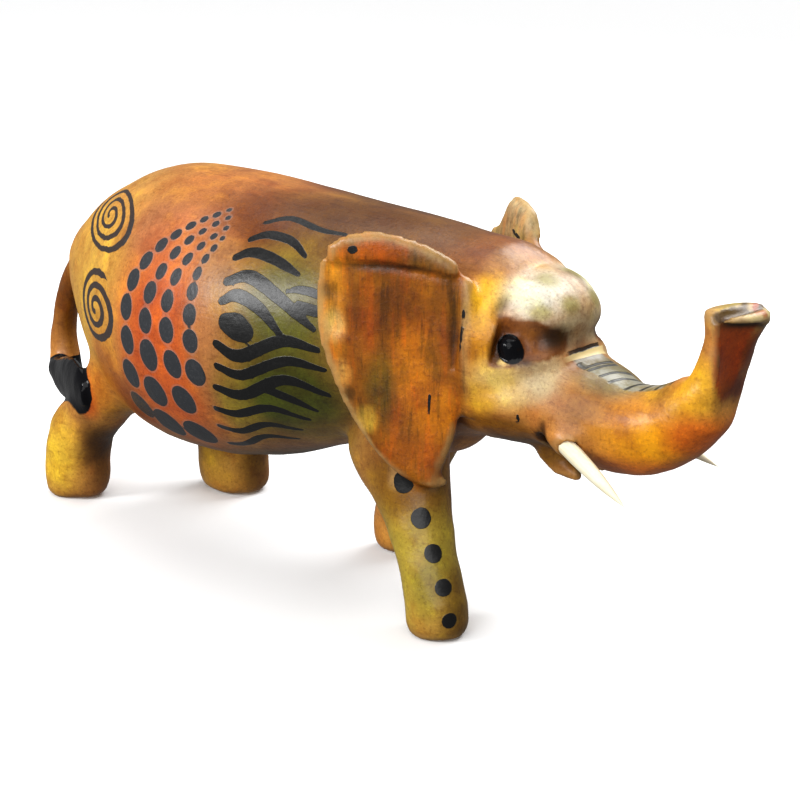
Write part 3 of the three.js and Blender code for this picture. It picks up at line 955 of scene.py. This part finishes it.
def stain_with_painted_light_shader(nodes, speckle, grain, cloud):
    """The stain, with its painted shade and highlights, clouds, brush marks, grain and speckle, worn on edges
    and dark in hollows.
    """
    smear = nodes.noise(5.0, 3.0, 0.6, (0.35, 1, 0.6))
    brush = nodes.noise(1.1, 3.0, 0.6, (1, 1, 0.16))
    patches = nodes.noise(13.0, 5.0, 0.62)
    streak = nodes.noise(2.6, 4.0, 0.65, (1, 1, 0.12))
    edge = nodes.attribute("edge")
    ears = nodes.attribute("on_ears")
    # Each noise tints the stain as it goes from the first value to the second: values, strength, tint.
    tints = [
        (patches, 0.50, 0.64, 0.40, (1.55, 1.75, 1.0)),
        (patches, 0.48, 0.36, 0.45, (0.70, 0.48, 0.40)),
        (cloud, 0.50, 0.68, 0.55, (0.55, 0.42, 0.30)),
        (smear, 0.52, 0.66, 0.35, (1.5, 1.45, 1.3)),
        (grain, 0.54, 0.70, 0.45, (0.55, 0.45, 0.4)),
        (brush, 0.56, 0.70, 0.35, (0.6, 0.5, 0.4)),
        (speckle, 0.54, 0.70, 0.5, (0.5, 0.42, 0.35)),
        (speckle, 0.44, 0.32, 0.40, (1.5, 1.5, 1.4)),
        (streak, 0.50, 0.62, nodes.times(ears, 0.6), (1.5, 1.15, 0.8)),
        (streak, 0.47, 0.36, nodes.times(ears, 0.7), (0.45, 0.52, 0.5)),
    ]
    # The stain colour, with its painted shade and painted highlights.
    colour = nodes.attribute("stain", "Color")
    for noise, first, second, strength, tint in tints:
        amount = nodes.times(nodes.step(noise, first, second), strength)
        colour = nodes.mix(amount, colour, tint, "MULTIPLY")
    worn = nodes.times(nodes.step(nodes.plus(edge, nodes.times(cloud, 0.8)), 1.05, 1.45), 0.4)
    colour = nodes.mix(worn, colour, (0.42, 0.24, 0.08))
    rim = nodes.step(nodes.plus(edge, nodes.times(smear, 0.6)), 1.15, 1.4)
    colour = nodes.mix(nodes.times(rim, nodes.times(ears, 0.4)), colour, (0.52, 0.34, 0.12))
    deep = nodes.times(nodes.step(nodes.attribute("hollow"), 0.10, 0.75), 0.8)
    return nodes.mix(deep, colour, (0.20, 0.12, 0.08), "MULTIPLY")


def trunk_paint(nodes, colour, wobble, cloud):
    """The colour with the grey band on the trunk and its cream ring, and 1 in the cuts across the band."""
    along, away, aside = nodes.parts(nodes.attribute("trunk", "Vector"))
    along = nodes.plus(along, nodes.times(wobble, 0.7))
    aside = nodes.plus(nodes.plus(aside, nodes.times(along, 0.09)), nodes.times(wobble, 2.5))
    near_line = nodes.step(away, 5.5, 4.5)
    on_top = nodes.times(near_line, nodes.step(aside, 6.8, 5.8))
    band = nodes.times(on_top, nodes.times(nodes.step(along, 3.0, 3.4), nodes.step(along, 33.0, 29.0)))
    band_grey = nodes.mix(nodes.step(cloud, 0.45, 0.6), (0.25, 0.25, 0.20), (0.12, 0.10, 0.03))
    colour = nodes.mix(nodes.times(band, 0.85), colour, band_grey)
    start, end = CREAM_RING
    ring = nodes.times(nodes.step(along, start, start + 0.3), nodes.step(along, end + 0.3, end))
    ring = nodes.times(nodes.times(ring, nodes.step(aside, 9.0, 8.6)), near_line)
    colour = nodes.mix(ring, colour, (0.80, 0.62, 0.28))
    nearest = FAR
    for place in NOTCHES:
        off = nodes.math("ABSOLUTE", nodes.math("SUBTRACT", along, place))
        nearest = nodes.math("MINIMUM", off, nearest)
    return colour, nodes.times(nodes.step(nearest, 0.58, 0.34), on_top)


def painted_wood():
    """Stained, hand-painted and waxed wood."""
    material = bpy.data.materials.new("painted_wood")
    nodes = Nodes(material)
    speckle = nodes.noise(0.9, 2.0, 0.7)
    grain = nodes.noise(1.6, 4.0, 0.65, (0.12, 1, 1))
    cloud = nodes.noise(9.0, 4.0, 0.6)
    wobble = nodes.times(nodes.math("SUBTRACT", nodes.noise(3.5, 2.0, 0.5), 0.5), 0.9)
    colour = stain_with_painted_light_shader(nodes, speckle, grain, cloud)

    marks = nodes.plus(nodes.attribute("marks"), nodes.times(wobble, 0.55))
    halo = nodes.times(nodes.step(marks, 0.65, 0.25), nodes.attribute("halo"))
    colour = nodes.mix(halo, colour, (0.34, 0.22, 0.17))
    thin_ink = nodes.times(nodes.step(speckle, 0.5, 0.7), 0.4)
    ink = nodes.mix(thin_ink, nodes.attribute("ink", "Color"), (2.2, 2.1, 2.0), "MULTIPLY")
    inked_over = nodes.step(marks, 0.1, -0.1)
    for name, spiral in SPIRALS.items():
        inked_over = nodes.math("MAXIMUM", inked_over, spiral_line(nodes, name, spiral, wobble))
    colour, notch = trunk_paint(nodes, colour, wobble, cloud)
    colour = nodes.mix(nodes.math("MAXIMUM", inked_over, nodes.times(notch, 0.9)), colour, ink)
    lacquer = nodes.step(nodes.plus(nodes.attribute("lacquer"), nodes.times(wobble, 0.5)), 0.15, -0.15)
    colour = nodes.mix(lacquer, colour, (0.004, 0.004, 0.005))
    nodes.plug(colour, nodes.shader.inputs["Base Color"])

    rough = nodes.plus(nodes.plus(nodes.times(cloud, 0.22), 0.19), nodes.times(speckle, 0.16))
    rough = nodes.math("SUBTRACT", rough, nodes.times(lacquer, 0.3), clamp=True)
    nodes.plug(rough, nodes.shader.inputs["Roughness"])
    gloss = nodes.math("SUBTRACT", 0.32, nodes.times(lacquer, 0.2))
    nodes.plug(gloss, nodes.shader.inputs["Specular IOR Level"])
    coat = nodes.times(nodes.math("SUBTRACT", 1.0, lacquer), 0.10)
    nodes.plug(coat, nodes.shader.inputs["Coat Weight"])
    nodes.shader.inputs["Coat Roughness"].default_value = 0.2

    normal = nodes.bump(nodes.plus(nodes.times(grain, 0.5), nodes.times(speckle, 0.6)), 0.10)
    normal = nodes.bump(cloud, 0.35, normal)
    normal = nodes.bump(nodes.math("SUBTRACT", nodes.times(inked_over, 0.25), notch), 0.35, normal)
    nodes.plug(normal, nodes.shader.inputs["Normal"])
    return material


def tusk_ivory():
    """Bleached wood with a faint lengthwise grain."""
    material = bpy.data.materials.new("tusk_ivory")
    nodes = Nodes(material)
    grain = nodes.noise(0.8, 4.0, 0.6, (0.1, 0.6, 0.4))
    cloud = nodes.noise(6.0, 3.0, 0.6)
    dark_grain = nodes.times(nodes.step(grain, 0.45, 0.7), 0.35)
    colour = nodes.mix(dark_grain, (0.90, 0.82, 0.58), (0.70, 0.56, 0.30))
    colour = nodes.mix(nodes.times(nodes.step(cloud, 0.5, 0.7), 0.4), colour, (0.95, 0.92, 0.78))
    nodes.plug(colour, nodes.shader.inputs["Base Color"])
    nodes.plug(nodes.plus(nodes.times(grain, 0.2), 0.3), nodes.shader.inputs["Roughness"])
    nodes.plug(nodes.bump(grain, 0.06), nodes.shader.inputs["Normal"])
    return material


# ---------------------------------------------------------------- meshes

def mesh_object(name, points, faces):
    """A smooth-shaded object from points in mm."""
    mesh = bpy.data.meshes.new(name)
    placed = points + np.array([SHIFT, 0, 0])
    mesh.from_pydata((placed * MM).tolist(), [], faces.tolist())
    mesh.update()
    mesh.shade_smooth()
    made = bpy.data.objects.new(name, mesh)
    bpy.context.scene.collection.objects.link(made)
    return made


# ---------------------------------------------------------------- studio

def studio():
    """A pale paper floor and an even white surrounding."""
    floor_size = 14.0
    bpy.ops.mesh.primitive_plane_add(size=floor_size)
    floor = bpy.context.object
    floor.name = "floor"
    paper = bpy.data.materials.new("paper")
    paper.use_nodes = True
    shader = paper.node_tree.nodes["Principled BSDF"]
    shader.inputs["Base Color"].default_value = (0.97, 0.97, 0.97, 1)
    shader.inputs["Roughness"].default_value = 0.95
    shader.inputs["Specular IOR Level"].default_value = 0.1
    floor.data.materials.append(paper)
    floor.visible_glossy = False
    floor.visible_diffuse = False

    world = bpy.data.worlds.new("studio")
    world.use_nodes = True
    world.node_tree.nodes["Background"].inputs["Color"].default_value = (1, 1, 1, 1)
    world.node_tree.nodes["Background"].inputs["Strength"].default_value = 0.17
    bpy.context.scene.world = world
    bpy.context.scene.view_settings.view_transform = "Standard"


def sun(name, way, strength, softness):
    """Even light from a direction, soft enough to leave no hard shadow."""
    data = bpy.data.lights.new(name, "SUN")
    data.energy = strength
    data.angle = math.radians(softness)
    made = bpy.data.objects.new(name, data)
    made.rotation_euler = Vector(way).to_track_quat("Z", "Y").to_euler()
    bpy.context.scene.collection.objects.link(made)


def lamp(name, place, aim, size, power):
    """A square soft light that faces its aim."""
    data = bpy.data.lights.new(name, "AREA")
    data.size = size
    data.energy = power
    made = bpy.data.objects.new(name, data)
    made.location = place
    made.rotation_euler = (aim - place).to_track_quat("-Z", "Y").to_euler()
    bpy.context.scene.collection.objects.link(made)


def camera():
    """The view from ahead and to the right of the elephant, a little above it."""
    azimuth, elevation = math.radians(41.5), math.radians(16)
    back = Vector((
        math.sin(azimuth) * math.cos(elevation),
        -math.cos(azimuth) * math.cos(elevation),
        math.sin(elevation),
    ))
    aim = metres(29.0, 0, 53.3)
    data = bpy.data.cameras.new("camera")
    data.lens = 84.0
    data.sensor_width = 36.0
    made = bpy.data.objects.new("camera", data)
    made.location = aim + back * 0.53
    made.rotation_euler = (-back).to_track_quat("-Z", "Y").to_euler()
    bpy.context.scene.collection.objects.link(made)
    bpy.context.scene.camera = made


# ---------------------------------------------------------------- assembly

camera()
studio()
middle = metres(20, 0, 55)
sun("overhead", (-0.1, 0.2, 0.97), 1.5, 60)
sun("front", (0.25, -0.8, 0.55), 2.3, 60)
lamp("left_softbox", middle + Vector((-0.435, -0.79, 0.43)) * 0.9, middle, 0.28, 5.0)
lamp("back_softbox", middle + Vector((0.1, 0.62, 0.75)) * 0.9, middle, 0.6, 8.0)

block = Block(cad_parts["carved_body"], CELL, 4.0)
points, faces = carve(block)
points[:, 2] = np.maximum(points[:, 2], 0)
body = mesh_object("elephant_body", points, faces)
paint(body, block, points, faces)
body.data.materials.append(painted_wood())
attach(body, "root")
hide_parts("carved_body")

ivory = tusk_ivory()
for name in ("tusk_right", "tusk_left"):
    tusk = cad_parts[name]
    for slot in tusk.material_slots:
        slot.material = ivory
